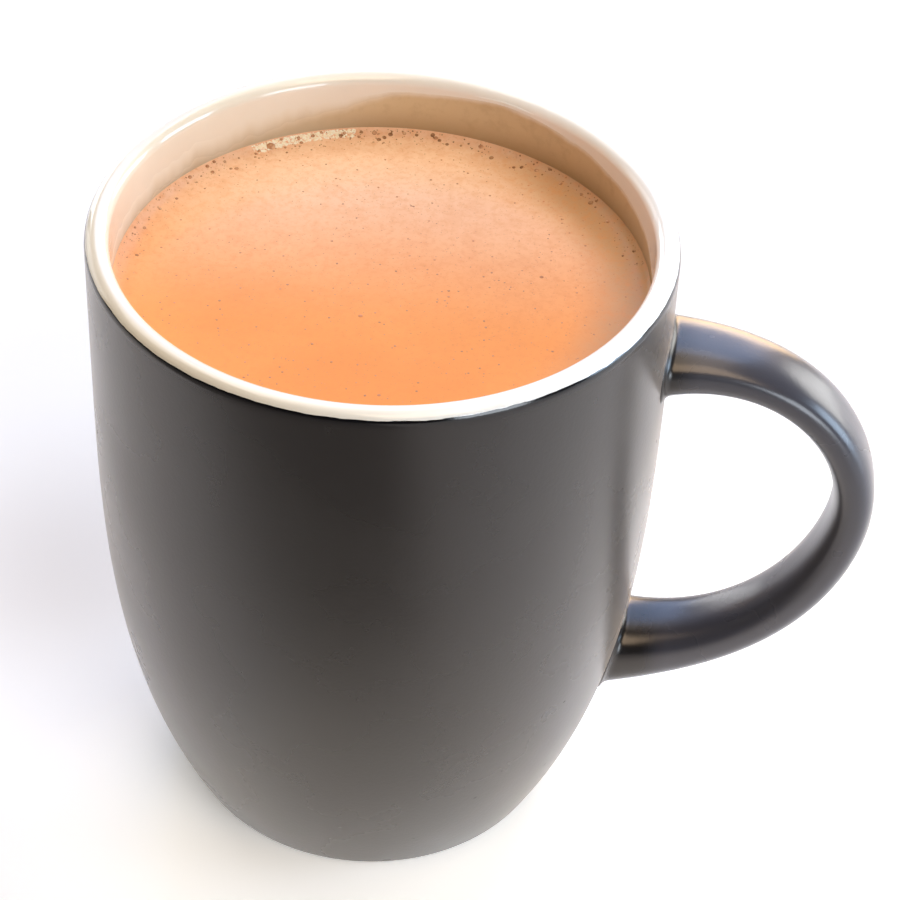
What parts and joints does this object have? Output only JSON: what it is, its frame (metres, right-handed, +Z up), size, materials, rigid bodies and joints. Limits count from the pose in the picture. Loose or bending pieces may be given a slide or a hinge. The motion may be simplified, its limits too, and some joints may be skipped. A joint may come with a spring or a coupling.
{
  "type": "mug of masala chai",
  "caption": "Barrel-shaped black stoneware mug with a cream inside and an ear-shaped handle, filled nearly to the rim with milky spiced tea.",
  "frame": {"origin": "on the mug's axis, in the plane of the ring that it stands on", "axes": "+Z up along the mug's axis, +X out along the handle"},
  "size_m": [0.1138, 0.082, 0.1],
  "materials": {
    "black_stoneware": "satin",
    "cream_glaze": "gloss",
    "chai": "wet, milky"
  },
  "bodies": {
    "root": {"mug": "black_stoneware", "chai": "chai"}
  },
  "joints": []
}
